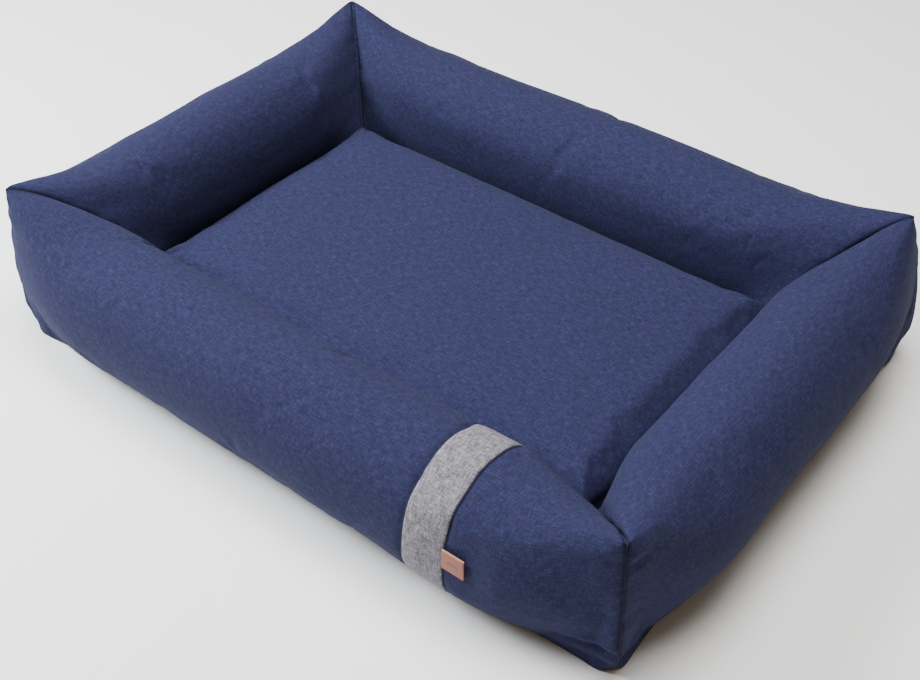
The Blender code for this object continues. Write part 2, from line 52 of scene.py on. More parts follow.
BED_LENGTH = 1.000
BED_WIDTH = 0.714
FLOOR = 0.0023
CORNER_HEIGHT = 0.228
CORNER_DEPTH = 0.140
BOLSTER_HALF_DEPTH = 0.081
BOLSTER_HALF_HEIGHT = 0.107
BOLSTER_AXIS_INSET = 0.027
SECTION_CENTRE = FLOOR + BOLSTER_HALF_HEIGHT - 0.012
TAPER_LENGTH = 0.190
FOOT_ANGLE = -65.0
TIP_ANGLE = 60.0
TOE_ANGLE = 245.0

ZIP_HEIGHT = 0.030
ZIP_PANEL = 0.030
ZIP_SLOT = 0.013
ZIP_END_MARGIN = 0.020
BAND_WIDTH = 0.056
BAND_END = BED_LENGTH / 2 - TAPER_LENGTH - 0.004
BAND_START = BAND_END - BAND_WIDTH
BAND_THICKNESS = 0.0009

CUSHION_HALF = (0.3878, 0.2448)
CUSHION_ZIP_HALF = 0.1925
CUSHION_ZIP_TOP = (0.0015, 0.033)
CUSHION_ZIP_FOOT = (0.0145, 0.0105)

TAG_LENGTH = 0.031
TAG_HEIGHT = 0.030
TAG_FOLD_RADIUS = 0.0014
TAG_LEATHER = 0.0011

# ---------------------------------------------------------------- how the soft parts are made

CELL = 0.0066
CLOTH_FRAMES = 20
CLOTH_GROWTH = 0.007
CLOTH_PRESSURE = 3.0
CLOTH_CAP = 0.007
CUSHION_GROWTH = 0.010
CUSHION_CAP = 0.008
CUSHION_HELD_HEIGHT = 0.036
CUSHION_CROWN = 0.002
CUSHION_GAP = 0.0010
CUSHION_CORNER_CUT = 0.0225
CUSHION_CORNER_REACH = 0.070
FOOT_TUCK = 0.011
MITRE_GAP = 0.0004
BAND_GROOVE = 0.0022
BAND_SUNK = 0.0012
BAND_GROOVE_DEPTH = 0.0018
SEAM_GROOVE = 0.0045
SEAM_GROOVE_DEPTH = 0.0022
TAG_MIDDLE_HEIGHT = 0.113
TAG_BAR_HALF = (0.0075, 0.0013)
TAG_CALM_REACH = 0.035
# How deep the puckers at the corner seams are and how far they reach, then the slow and the fine waves.
PUCKER_DEPTH = 0.0034
PUCKER_REACH = 0.030
DRIFT_DEPTH = 0.0022
RIPPLE_DEPTH = 0.0007

LONG_HALF = BED_LENGTH / 2
SHORT_HALF = BED_WIDTH / 2
SIDES = {
    "front": (LONG_HALF, (0.0, -SHORT_HALF), 0.0),
    "right": (SHORT_HALF, (LONG_HALF, 0.0), math.pi / 2),
    "back": (LONG_HALF, (0.0, SHORT_HALF), math.pi),
    "left": (SHORT_HALF, (-LONG_HALF, 0.0), -math.pi / 2),
}
# How the cloth stands out of each corner's upright seam: at mid-height, at the foot, and how fast
# that fades along the bolsters.
SPREAD = {
    "front_left": (0.002, 0.011, 1.4),
    "front_right": (0.005, 0.009, 4.0),
    "back_right": (0.014, 0.017, 1.6),
    "back_left": (0.005, 0.009, 2.5),
}
# How round each raised tip is on its inner side: 1 is a straight slope, 2 a quarter ellipse.
ROUNDNESS = {"front_left": 1.65, "front_right": 1.22, "back_right": 1.40, "back_left": 1.35}
# How far the foot of each corner has been pushed from its plumb place, as (x, y).
LEAN = {
    "front_left": (0.020, -0.010),
    "front_right": (0.002, 0.004),
    "back_right": (0.015, -0.022),
    "back_left": (0.004, -0.004),
}
LEAN_REACH = 0.16
# How far each bolster's outer flank is drawn in low down, and how much its ridge stands up, mid-length.
FLANK_DRAW = {"front": 0.0, "right": 0.017, "back": 0.0, "left": 0.0}
RIDGE_LIFT = {"front": 0.0, "right": 0.001, "back": 0.003, "left": 0.007}
# Each corner, the bolster whose right end makes it and the bolster whose left end meets that one.
CORNERS = {
    "front_left": ("left", "front"),
    "front_right": ("front", "right"),
    "back_right": ("right", "back"),
    "back_left": ("back", "left"),
}


# ---------------------------------------------------------------- camera, light and floor


def set_camera():
    azimuth, elevation, roll = (math.radians(a) for a in (37.88, 41.04, 0.31))
    back = Vector((
        math.sin(azimuth) * math.cos(elevation),
        -math.cos(azimuth) * math.cos(elevation),
        math.sin(elevation),
    ))
    level = Vector((math.cos(azimuth), math.sin(azimuth), 0.0))
    right = level * math.cos(roll) + back.cross(level) * math.sin(roll)
    up = back.cross(right)
    camera = bpy.data.objects.new("camera", bpy.data.cameras.new("camera"))
    bpy.context.scene.collection.objects.link(camera)
    camera.data.lens = 50.2
    camera.data.sensor_width = 36.0
    camera.data.shift_x = 0.0050
    camera.data.shift_y = -0.0059
    turn = Matrix((right, up, back)).transposed().to_4x4()
    camera.matrix_world = Matrix.Translation((0.8717, -1.1171, 1.2250)) @ turn
    bpy.context.scene.camera = camera


def area_light(name, location, target, size, watts, colour=(1.0, 1.0, 1.0)):
    light = bpy.data.objects.new(name, bpy.data.lights.new(name, "AREA"))
    bpy.context.scene.collection.objects.link(light)
    light.data.shape = "SQUARE"
    light.data.size = size
    light.data.energy = watts
    light.data.color = colour
    light.location = location
    aim = Vector(target) - Vector(location)
    light.rotation_euler = aim.to_track_quat("-Z", "Y").to_euler()


def set_light():
    area_light("key", (-1.9, -1.2, 1.95), (-0.05, 0.0, 0.1), 1.1, 182, (0.92, 0.96, 1.0))
    area_light("top", (0.15, 0.15, 3.0), (0.0, 0.0, 0.0), 1.8, 150)
    world = bpy.data.worlds.new("studio")
    bpy.context.scene.world = world
    world.use_nodes = True
    world.node_tree.nodes["Background"].inputs["Color"].default_value = (1.0, 0.79, 0.52, 1.0)
    world.node_tree.nodes["Background"].inputs["Strength"].default_value = 0.20


def make_floor():
    mesh = bpy.data.meshes.new("floor")
    reach = 12.0
    corners = [(x * reach, y * reach, -0.0006) for x, y in ((-1, -1), (1, -1), (1, 1), (-1, 1))]
    mesh.from_pydata(corners, [], [(0, 1, 2, 3)])
    floor = bpy.data.objects.new("floor", mesh)
    bpy.context.scene.collection.objects.link(floor)
    paint = Paint("studio_floor")
    paint.shade("Base Color", (0.93, 0.93, 0.93, 1.0))
    paint.shade("Roughness", 0.9)
    mesh.materials.append(paint.material)


# ---------------------------------------------------------------- materials


class Paint:
    """A short way to write a material's nodes."""

    def __init__(self, name):
        self.material = bpy.data.materials.new(name)
        self.material.use_nodes = True
        self.tree = self.material.node_tree
        self.shader = self.tree.nodes["Principled BSDF"]

    def shade(self, socket, value):
        """Sets a socket of the shader, or links an output to it."""
        if isinstance(value, bpy.types.NodeSocket):
            self.tree.links.new(value, self.shader.inputs[socket])
        else:
            self.shader.inputs[socket].default_value = value

    def node(self, kind, values=(), **settings):
        made = self.tree.nodes.new(kind)
        for key, value in settings.items():
            setattr(made, key, value)
        for key, value in dict(values).items():
            if isinstance(value, bpy.types.NodeSocket):
                self.tree.links.new(value, made.inputs[key])
            else:
                made.inputs[key].default_value = value
        return made

    def place(self, scale, source="UV"):
        """Texture coordinates in metres, times scale per axis."""
        coordinates = self.node("ShaderNodeTexCoord").outputs[source]
        return self.node("ShaderNodeMapping", {"Vector": coordinates, "Scale": scale}).outputs["Vector"]

    def grain(self, scale, detail, rough, source="UV"):
        """Noise from 0 to 1 whose cells are 1 / scale metres in each direction."""
        where = self.place(scale, source)
        values = {"Vector": where, "Scale": 1.0, "Detail": detail, "Roughness": rough}
        return self.node("ShaderNodeTexNoise", values).outputs["Fac"]

    def math(self, operation, a, b=0.0):
        return self.node("ShaderNodeMath", {0: a, 1: b}, operation=operation).outputs[0]

    def near(self, value, middle, reach):
        """1 where value is within reach of middle, else 0."""
        return self.node("ShaderNodeMath", {0: value, 1: middle, 2: reach}, operation="COMPARE").outputs[0]

    def stretch(self, value, low, high, new_low=0.0, new_high=1.0):
        values = {"Value": value, "From Min": low, "From Max": high, "To Min": new_low, "To Max": new_high}
        return self.node("ShaderNodeMapRange", values).outputs[0]

    def ramp(self, value, stops):
        made = self.node("ShaderNodeValToRGB", {"Fac": value})
        elements = made.color_ramp.elements
        while len(elements) < len(stops):
            elements.new(0.5)
        for element, (position, colour) in zip(elements, stops):
            element.position = position
            element.color = (*colour, 1.0)
        return made.outputs["Color"]

    def mix(self, share, a, b):
        values = {"Factor": share, 6: a, 7: b}
        return self.node("ShaderNodeMix", values, data_type="RGBA").outputs[2]

    def bump(self, height, distance, strength=1.0, below=None):
        values = {"Height": height, "Distance": distance, "Strength": strength}
        if below is not None:
            values["Normal"] = below
        return self.node("ShaderNodeBump", values).outputs["Normal"]

    def weave(self, pitch_u, pitch_v):
        """Plain weave from 0 to 1: threads that pass over and under at these pitches."""
        where = self.place((math.pi / pitch_u, math.pi / pitch_v, 1.0))
        axes = self.node("ShaderNodeSeparateXYZ", {"Vector": where})
        u, v = axes.outputs["X"], axes.outputs["Y"]
        over = self.math("MULTIPLY", self.math("SINE", u), self.math("SINE", v))
        ribs = self.math("MULTIPLY", self.math("COSINE", self.math("MULTIPLY", u, 2.0)), 0.35)
        return self.math("ADD", self.math("MULTIPLY", over, 0.65), ribs)


def heather_cloth(name, cool, warm, slub, contrast, gloss):
    """Melange canvas: slubs along u, a speckle of light and dark yarns, patches of two hues, a weave.

    cool and warm are each (dark, middle, light) colours; slub is the cells per metre along and
    across the slubs; contrast is how far the yarns' tones spread.
    """
    paint = Paint(name)
    streaks = paint.grain((slub[0], slub[1], 1.0), 3.0, 0.6)
    cross = paint.grain((slub[1], slub[0], 1.0), 3.0, 0.6)
    patches = paint.grain((70.0, 110.0, 1.0), 3.0, 0.6)
    yarns = paint.grain((560.0, 1100.0, 1.0), 1.0, 0.5)
    shares = ((streaks, 0.42), (cross, 0.36), (patches, 0.16), (yarns, 0.26))
    tone = reduce(
        partial(paint.math, "ADD"), [paint.math("MULTIPLY", layer, share) for layer, share in shares]
    )
    middle = sum(share for _, share in shares) / 2
    tone = paint.stretch(tone, middle - contrast, middle + contrast)
    hue = paint.stretch(paint.grain((115.0, 170.0, 1.0), 2.0, 0.5), 0.38, 0.62)
    cool_colour, warm_colour = (
        paint.ramp(tone, list(zip((0.0, 0.5, 1.0), colours))) for colours in (cool, warm)
    )
    colour = paint.mix(hue, cool_colour, warm_colour)
    # Painted shade: the seam_shade mark mixes the cloth towards near-black in the corner seams and along the
    # band's edges, standing in for their shadow.
    seam = paint.node("ShaderNodeAttribute", attribute_name="seam_shade").outputs["Fac"]
    shaded = paint.mix(seam, colour, (0.0035, 0.0040, 0.0075, 1.0))
    paint.shade("Base Color", shaded)
    paint.shade("Roughness", paint.stretch(yarns, 0.3, 0.7, 0.80, 0.95))
    paint.shade("Specular IOR Level", gloss)
    paint.shade("Sheen Weight", 0.04)
    paint.shade("Sheen Roughness", 0.5)
    paint.shade("Sheen Tint", (0.60, 0.66, 0.90, 1.0))
    soft = paint.bump(paint.grain((160.0, 160.0, 160.0), 3.0, 0.6, source="Object"), 0.0011, 0.30)
    ridge = paint.bump(streaks, 0.0004, 0.5, soft)
    paint.shade("Normal", paint.bump(paint.weave(0.0009, 0.0008), 0.00018, 0.55, ridge))
    return paint.material


def navy_canvas():
    cool = ((0.0070, 0.0100, 0.0210), (0.0155, 0.0195, 0.0500), (0.0310, 0.0385, 0.0950))
    warm = ((0.0105, 0.0085, 0.0230), (0.0195, 0.0185, 0.0560), (0.0410, 0.0370, 0.1120))
    return heather_cloth("navy_canvas", cool, warm, (100.0, 520.0), 0.20, 0.07)


def grey_melange():
    cool = ((0.054, 0.055, 0.061), (0.148, 0.143, 0.159), (0.300, 0.292, 0.320))
    warm = ((0.058, 0.050, 0.058), (0.158, 0.143, 0.163), (0.318, 0.292, 0.332))
    return heather_cloth("grey_melange", cool, warm, (90.0, 560.0), 0.13, 0.20)


def grip_cloth():
    """Black underside cloth with moulded grip dots."""
    paint = Paint("black_grip_cloth")
    where = paint.place((160.0, 160.0, 160.0), source="Object")
    cells = paint.node("ShaderNodeTexVoronoi", {"Vector": where, "Scale": 1.0, "Randomness": 0.0})
    dot = paint.stretch(cells.outputs["Distance"], 0.22, 0.30, 1.0, 0.0)
    fibre = paint.grain((700.0, 700.0, 700.0), 2.0, 0.6, source="Object")
    cloth = paint.ramp(fibre, [(0.3, (0.010, 0.010, 0.013)), (0.7, (0.024, 0.024, 0.029))])
    paint.shade("Base Color", paint.mix(dot, cloth, (0.030, 0.030, 0.033, 1.0)))
    paint.shade("Roughness", paint.stretch(dot, 0.0, 1.0, 0.9, 0.45))
    paint.shade("Normal", paint.bump(dot, 0.0006, 0.8, paint.bump(fibre, 0.0002, 0.5)))
    return paint.material


def tan_leather():
    """Vegetable-tanned leather: pores and a soft mottle, raw fibre on cut edges, a plain pressed bar."""
    paint = Paint("tan_leather")
    mottle = paint.grain((110.0, 110.0, 110.0), 4.0, 0.6, source="Object")
    where = paint.place((1500.0, 1500.0, 1500.0), source="Object")
    pores = paint.node("ShaderNodeTexVoronoi", {"Vector": where, "Scale": 1.0}).outputs["Distance"]
    face = paint.ramp(mottle, [(0.30, (0.172, 0.037, 0.015)), (0.70, (0.250, 0.062, 0.027))])
    raw = paint.ramp(mottle, [(0.30, (0.36, 0.165, 0.095)), (0.70, (0.48, 0.245, 0.150))])
    edge = paint.node("ShaderNodeAttribute", attribute_name="cut_edge").outputs["Fac"]
    place = paint.node("ShaderNodeSeparateXYZ", {"Vector": paint.place((1.0, 1.0, 1.0))})
    along = paint.near(place.outputs["X"], TAG_LENGTH / 2, TAG_BAR_HALF[0])
    across = paint.near(place.outputs["Y"], TAG_HEIGHT / 2, TAG_BAR_HALF[1])
    bar = paint.math("MULTIPLY", along, across)
    pressed = paint.mix(paint.math("MULTIPLY", bar, 0.75), face, (0.045, 0.018, 0.011, 1.0))
    paint.shade("Base Color", paint.mix(edge, pressed, raw))
    paint.shade("Roughness", paint.stretch(mottle, 0.3, 0.7, 0.42, 0.60))
    grain = paint.bump(pores, 0.00012, 0.5, paint.bump(mottle, 0.0003, 0.3))
    paint.shade("Normal", paint.bump(paint.math("SUBTRACT", 1.0, bar), 0.0003, 0.6, grain))
    return paint.material


def zip_tape_cloth():
    paint = Paint("zip_tape")
    where = paint.place((1.0, 1.0, 1.0), source="Object")
    ribs = paint.node("ShaderNodeTexWave", {"Vector": where, "Scale": 900.0}).outputs["Fac"]
    fibre = paint.grain((900.0, 900.0, 900.0), 2.0, 0.6, source="Object")
    paint.shade("Base Color", paint.ramp(fibre, [(0.3, (0.010, 0.014, 0.034)), (0.7, (0.026, 0.033, 0.072))]))
    paint.shade("Roughness", paint.stretch(fibre, 0.3, 0.7, 0.75, 0.92))
    paint.shade("Normal", paint.bump(ribs, 0.0002, 0.6))
    return paint.material


def coil_plastic():
    paint = Paint("zip_coil")
    fine = paint.grain((800.0, 800.0, 800.0), 2.0, 0.5, source="Object")
    where = paint.place((1.0, 1.0, 1.0), source="Object")
    turns = paint.node(
        "ShaderNodeTexWave", {"Vector": where, "Scale": 390.0}, bands_direction="DIAGONAL"
    ).outputs["Fac"]
    plastic = paint.ramp(fine, [(0.3, (0.016, 0.020, 0.046)), (0.7, (0.034, 0.041, 0.088))])
    paint.shade("Base Color", paint.mix(turns, (0.004, 0.005, 0.011, 1.0), plastic))
    paint.shade("Roughness", paint.stretch(fine, 0.3, 0.7, 0.32, 0.50))
    paint.shade("Normal", paint.bump(turns, 0.0005, 0.8, paint.bump(fine, 0.0001, 0.3)))
    return paint.material


def nickel():
    """Dull plated die-casting, rubbed brighter where it is handled."""
    paint = Paint("zip_slider")
    wear = paint.grain((260.0, 260.0, 260.0), 4.0, 0.65, source="Object")
    paint.shade("Base Color", paint.ramp(wear, [(0.3, (0.30, 0.29, 0.28)), (0.7, (0.52, 0.51, 0.50))]))
    paint.shade("Metallic", 1.0)
    paint.shade("Roughness", paint.stretch(wear, 0.3, 0.7, 0.46, 0.26))
    paint.shade("Normal", paint.bump(wear, 0.0002, 0.25))
    return paint.material


# ---------------------------------------------------------------- the bolster's form


def middle_section(angle):
    turn = np.radians(angle)
    q = BOLSTER_AXIS_INSET - BOLSTER_HALF_DEPTH * np.cos(turn)
    z = np.maximum(FLOOR, SECTION_CENTRE + BOLSTER_HALF_HEIGHT * np.sin(turn))
    return np.stack([q, z], axis=-1)


def corner_section(angle, roundness):
    angle = np.asarray(angle, float)
    rise = CORNER_HEIGHT - FLOOR
    power = 2 / roundness
    turn = np.radians(90.0 * (TOE_ANGLE - np.maximum(angle, TIP_ANGLE)) / (TOE_ANGLE - TIP_ANGLE))
    slope_q = CORNER_DEPTH * np.abs(np.cos(turn)) ** power
    slope_z = FLOOR + rise * np.sin(turn) ** power
    seam_z = FLOOR + rise * (angle - FOOT_ANGLE) / (TIP_ANGLE - FOOT_ANGLE)
    outside = angle <= TIP_ANGLE
    return np.stack([np.where(outside, 0.0, slope_q), np.where(outside, seam_z, slope_z)], axis=-1)


def seam_spread(corner_line, side, end, step):
    """How far the cloth stands out, at each row, of the upright seam at one end of a bolster."""
    belly, foot, fade = SPREAD[corner_at(side, end)]
    height = np.clip((corner_line[:, 1] - FLOOR) / (CORNER_HEIGHT - FLOOR), 0.0, 1.0)
    spread = belly * np.sin(math.pi * height ** 0.7) + foot * (1 - height)
    return np.where(corner_line[:, 0] < 1e-6, spread, 0.0) * (1 - step) ** fade


def flank_angle(height):
    return 180 + math.degrees(math.asin((SECTION_CENTRE - height) / BOLSTER_HALF_HEIGHT))


UPPER_ANGLE = flank_angle(ZIP_HEIGHT + ZIP_PANEL / 2)
LOWER_ANGLE = flank_angle(ZIP_HEIGHT - ZIP_PANEL / 2)
PANEL_LENGTH = float(np.linalg.norm(middle_section(UPPER_ANGLE) - middle_section(LOWER_ANGLE)))


def section_rows(shape):
    """A section's points, row by row, and the zip strip's first row, its slot's upper row and its last."""
    outside = np.linspace(FOOT_ANGLE, TIP_ANGLE, 36)
    inside = np.linspace(TIP_ANGLE, UPPER_ANGLE, 40)[1:]
    under = np.linspace(LOWER_ANGLE, TOE_ANGLE, 4)[1:]
    share = ZIP_SLOT / PANEL_LENGTH / 2
    across = np.array([0.15, 0.5 - share, 0.5 + share, 0.85, 1.0])[:, None]
    upper, lower = shape(UPPER_ANGLE), shape(LOWER_ANGLE)
    strip = upper + (lower - upper) * across
    first = len(outside) + len(inside) - 1
    return np.concatenate([shape(outside), shape(inside), strip, shape(under)]), first, first + 2, first + 5


def corner_at(side, end):
    """The corner at one end of a bolster: end is above 0 for its right end."""
    return next(name for name, pair in CORNERS.items() if pair[0 if end > 0 else 1] == side)


def zip_half(side):
    room = SIDES[side][0] - TAPER_LENGTH - ZIP_END_MARGIN
    return room - BAND_WIDTH - 0.004 if side in ("front", "back") else room


def spaced(low, high):
    """Even steps of about one cell from low up to, not including, high."""
    return list(np.linspace(low, high, max(2, round((high - low) / CELL) + 1))[:-1])


def stations(side):
    """(x, step) columns along a bolster; step grows from 0 at the mitre to 1 on the straight part."""
    half = SIDES[side][0]
    straight = half - TAPER_LENGTH
    marks = [-straight, -zip_half(side), zip_half(side), straight]
    if side == "front":
        marks[3:3] = [BAND_START - BAND_GROOVE, BAND_START, BAND_END, BAND_END + BAND_GROOVE]
    run = [x for low, high in zip(marks, marks[1:]) for x in spaced(low, high)] + [straight]
    taper = [(half - step * TAPER_LENGTH, step) for step in np.linspace(0.0, 1.0, 31)[:-1]]
    left = [(-x, step) for x, step in taper]
    return left + [(x, 1.0) for x in run] + taper[::-1]


def blunt_foot(corner_line, step):
    """How far the seam's foot tucks in, so that the bed's lowest corners are rounded."""
    low = np.clip(1 - (corner_line[:, 1] - FLOOR) / 0.040, 0.0, 1.0)
    outside = np.where(corner_line[:, 0] < 1e-6, 1.0, 0.0)
    return FOOT_TUCK * low * outside * math.exp(-(step * TAPER_LENGTH / 0.014) ** 2)


def settle(line, side, x):
    """A bolster's own departures from the common section: a flatter outer flank, a higher ridge."""
    q, z = line[:, 0], line[:, 1]
    along = math.cos(math.pi / 2 * min(1.0, abs(x) / SIDES[side][0])) ** 0.7
    low = np.clip((0.150 - z) / 0.110, 0.0, 1.0)
    foot = np.clip((z - FLOOR) / 0.020, 0.25, 1.0)
    outer = np.clip((BOLSTER_AXIS_INSET - q) / 0.030, 0.0, 1.0)
    high = np.clip((z - 0.120) / 0.080, 0.0, 1.0)
    draw = FLANK_DRAW[side] * along * low * low * (3 - 2 * low) * outer * foot
    lift = RIDGE_LIFT[side] * along * high
    return np.column_stack([q + draw, z + lift])


def bolster_grid(side):
    """Points of a bolster, as an array of columns by rows by (x, q, z)."""
    middle = section_rows(middle_section)[0]
    ends = {
        end: section_rows(partial(corner_section, roundness=ROUNDNESS[corner_at(side, end)]))[0]
        for end in (-1, 1)
    }
    columns = []
    for x, step in stations(side):
        corner = ends[1 if x > 0 else -1]
        weight = step * (0.75 + step * (1.5 - 1.25 * step))
        line = corner + (middle - corner) * weight
        line[:, 0] -= seam_spread(corner, side, x, step)
        line[:, 0] += blunt_foot(corner, step)
        line = settle(line, side, x)
        lean = (1 - step) * math.copysign(1, x)
        columns.append(np.column_stack([x - lean * (line[:, 0] + MITRE_GAP * math.sqrt(2)), line]))
    return np.array(columns)


def side_matrix(side):
    _, (x, y), turn = SIDES[side]
    return Matrix.Translation((x, y, 0.0)) @ Matrix.Rotation(turn, 4, "Z")


# ---------------------------------------------------------------- meshes from grids


def grid_faces(columns, rows, leave_out=lambda i, j: False):
    return [
        (i * rows + j, (i + 1) * rows + j, (i + 1) * rows + j + 1, i * rows + j + 1)
        for i in range(columns - 1)
        for j in range(rows - 1)
        if not leave_out(i, j)
    ]


def new_object(name, points, faces, material=None):
    mesh = bpy.data.meshes.new(name)
    mesh.from_pydata([tuple(p) for p in points], [], faces)
    mesh.validate()
    made = bpy.data.objects.new(name, mesh)
    bpy.context.scene.collection.objects.link(made)
    if material is not None:
        mesh.materials.append(material)
    return made


def read_points(obj):
    graph = bpy.context.evaluated_depsgraph_get()
    mesh = obj.evaluated_get(graph).data
    flat = np.empty(len(mesh.vertices) * 3)
    mesh.vertices.foreach_get("co", flat)
    return flat.reshape(-1, 3)


def inflate(points, faces, pinned, growth, cap):
    """Cloth over a soft core: points after the sheet is let out by growth and blown up from inside."""
    sheet = new_object("cloth_run", points, faces)
    group = sheet.vertex_groups.new(name="pinned")
    group.add([int(i) for i in np.flatnonzero(pinned)], 1.0, "REPLACE")
    cloth = sheet.modifiers.new("cloth", "CLOTH")
    settings = cloth.settings
    settings.quality = 6
    settings.mass = 0.25
    settings.tension_stiffness = 25.0
    settings.compression_stiffness = 25.0
    settings.shear_stiffness = 8.0
    settings.bending_stiffness = 0.35
    settings.tension_damping = settings.compression_damping = settings.shear_damping = 8.0
    settings.air_damping = 4.0
    settings.vertex_group_mass = "pinned"
    settings.shrink_min = -growth
    settings.use_pressure = True
    settings.uniform_pressure_force = CLOTH_PRESSURE
    settings.effector_weights.gravity = 0.0
    cloth.collision_settings.use_collision = False
    cloth.point_cache.frame_start = 1
    cloth.point_cache.frame_end = CLOTH_FRAMES
    scene = bpy.context.scene
    for number in range(1, CLOTH_FRAMES + 1):
        scene.frame_set(number)
    moved = read_points(sheet)
    scene.frame_set(1)
    bpy.data.objects.remove(sheet)
    shift = moved - points
    length = np.linalg.norm(shift, axis=1, keepdims=True)
    return points + shift * np.minimum(1.0, cap / np.maximum(length, 1e-9))


def lay_corner_uv(obj, uv):
    """A UV map in metres, from one (u, v) for each corner of each face."""
    layer = obj.data.uv_layers.new(name="metres")
    layer.data.foreach_set("uv", np.asarray(uv).ravel())


def lay_uv(obj, uv):
    """A UV map in metres, from one (u, v) for each vertex."""
    loops = np.empty(len(obj.data.loops), int)
    obj.data.loops.foreach_get("vertex_index", loops)
    lay_corner_uv(obj, np.asarray(uv)[loops])


def grid_uv(grid, offset=0.0):
    """Metres along the columns and round the rows of a grid."""
    middle = grid.shape[1] // 2
    along = grid[:, middle, 0]
    u = np.repeat(along[:, None], grid.shape[1], axis=1) * 0.35 + grid[:, :, 0] * 0.65
    steps = np.linalg.norm(np.diff(grid[grid.shape[0] // 2], axis=0), axis=1)
    v = np.repeat(np.concatenate([[0.0], np.cumsum(steps)])[None, :], grid.shape[0], axis=0)
    return np.stack([u + offset, v + offset], axis=-1).reshape(-1, 2)


def smooth_finish(obj):
    obj.data.shade_smooth()
    rounder = obj.modifiers.new("rounder", "SUBSURF")
    rounder.levels = rounder.render_levels = 1
    rounder.boundary_smooth = "PRESERVE_CORNERS"


# ---------------------------------------------------------------- bolsters


# Creases as the cloth shows them: side, which end (-1 left, 1 right), height at the corner seam,
# height at the far end, reach along the bolster, half width and depth.
FOLDS = (
    ("front", 1, 0.052, 0.036, 0.095, 0.0060, 0.0090),
    ("front", 1, 0.198, 0.180, 0.070, 0.0065, 0.0036),
    ("front", 1, 0.024, 0.020, 0.070, 0.0060, 0.0040),
    ("right", -1, 0.190, 0.204, 0.065, 0.0065, 0.0045),
    ("right", -1, 0.036, 0.022, 0.055, 0.0070, 0.0060),
    ("front", -1, 0.206, 0.192, 0.075, 0.0055, 0.0028),
    ("front", -1, 0.182, 0.180, 0.060, 0.0060, 0.0020),
    ("left", 1, 0.196, 0.188, 0.060, 0.0060, 0.0025),
    ("back", -1, 0.060, 0.048, 0.070, 0.0070, 0.0035),
    ("back", 1, 0.190, 0.182, 0.060, 0.0060, 0.0025),
)


def normals_of(grid):
    """Outward unit normals of a bolster's grid."""
    normal = np.cross(np.gradient(grid, axis=0), np.gradient(grid, axis=1))
    normal /= np.maximum(np.linalg.norm(normal, axis=2, keepdims=True), 1e-12)
    facing = normal[grid.shape[0] // 2, 20, 1]
    return -normal if facing > 0 else normal


def soft_noise(points, scale, seed):
    """Smooth noise of about -1 to 1; scale is cells per metre in each direction."""
    shift = Vector((seed, 0, 0))
    return np.array([noise.noise(Vector([p[k] * scale[k] for k in range(3)]) + shift) for p in points])


def corner_distance(grid, side):
    """Distance from the nearer mitre, and which end that is."""
    half = SIDES[side][0]
    gap = half - grid[:, :, 1] - np.abs(grid[:, :, 0])
    return np.maximum(gap, 0.0), np.sign(grid[:, :, 0])


def crease(grid, side):
    """Puckers that gather at the corner seams, the folds above, and the cloth's slow unevenness."""
    distance, end = corner_distance(grid, side)
    flat = grid.reshape(-1, 3)
    seed = 7.3 * (list(SIDES).index(side) + 1)
    shape = distance.shape
    gathers = soft_noise(flat, (14.0, 45.0, 52.0), seed).reshape(shape)
    drift = soft_noise(flat, (9.0, 13.0, 13.0), seed + 31).reshape(shape)
    ripple = soft_noise(flat, (22.0, 40.0, 40.0), seed + 57).reshape(shape)
    push = PUCKER_DEPTH * gathers * np.exp(-distance / PUCKER_REACH)
    push += DRIFT_DEPTH * drift + RIPPLE_DEPTH * ripple
    outside = grid[:, :, 1] < BOLSTER_AXIS_INSET
    for name, at_end, seam_height, far_height, reach, width, depth in FOLDS:
        if name != side:
            continue
        share = distance / reach
        line = seam_height + (far_height - seam_height) * share
        across = (grid[:, :, 2] - line) / width
        fade = np.clip(1 - share, 0.0, 1.0) ** 0.6 * (end == at_end) * outside
        push -= depth * fade * np.exp(-across ** 2)
        push += 0.45 * depth * fade * np.exp(-((across - 2.1) / 1.1) ** 2)
    height = grid[:, :, 2]
    return push * np.clip((height - FLOOR) / 0.012, 0.0, 1.0) * np.minimum(1.0, distance / 0.008)


def seam_groove(distance, depth, width):
    """The dip of the cloth towards a seam."""
    return -depth * np.exp(-(distance / width) ** 2)


def shade_seams(cover, grid, side):
    """Marks the points in the corner seams and beside the band's edges for painted shade, a darkening of the
    cloth that stands in for the shadow gathering there.
    """
    distance, _ = corner_distance(grid, side)
    shade = 0.85 * np.exp(-(distance / 0.003) ** 2)
    if side == "front":
        for edge, depth in ((BAND_START - BAND_GROOVE, 0.4), (BAND_END + BAND_GROOVE, 0.9)):
            shade += depth * np.exp(-((grid[:, :, 0] - edge) / 0.001) ** 2)
    layer = cover.data.attributes.new("seam_shade", "FLOAT", "POINT")
    layer.data.foreach_set("value", np.minimum(shade, 1.0).ravel())


def rest_zone(grid, side):
    """1 where the cloth may move, less on the inner flank, 0 at the zip's strip and round the tag."""
    height, inset = grid[:, :, 2], grid[:, :, 1]
    inner = inset > BOLSTER_AXIS_INSET
    freedom = np.ones(height.shape)
    freedom[inner] = np.clip(0.35 + (height[inner] - 0.115) / 0.05, 0.35, 1.0)
    zip_like = inner & (height < 0.052) & (np.abs(grid[:, :, 0]) < zip_half(side) + 0.03)
    freedom[zip_like] *= np.clip((height[zip_like] - 0.047) / 0.010, 0.0, 1.0)
    if side == "front":
        away_x = np.maximum(0.0, np.abs(grid[:, :, 0] - (BAND_END + TAG_LENGTH / 2)) - TAG_LENGTH / 2)
        away_z = np.maximum(0.0, np.abs(height - TAG_MIDDLE_HEIGHT) - TAG_HEIGHT / 2)
        away = np.hypot(away_x, away_z) + np.where(inner, 1.0, 0.0)
        freedom *= np.clip(away / TAG_CALM_REACH, 0.0, 1.0)
    return freedom


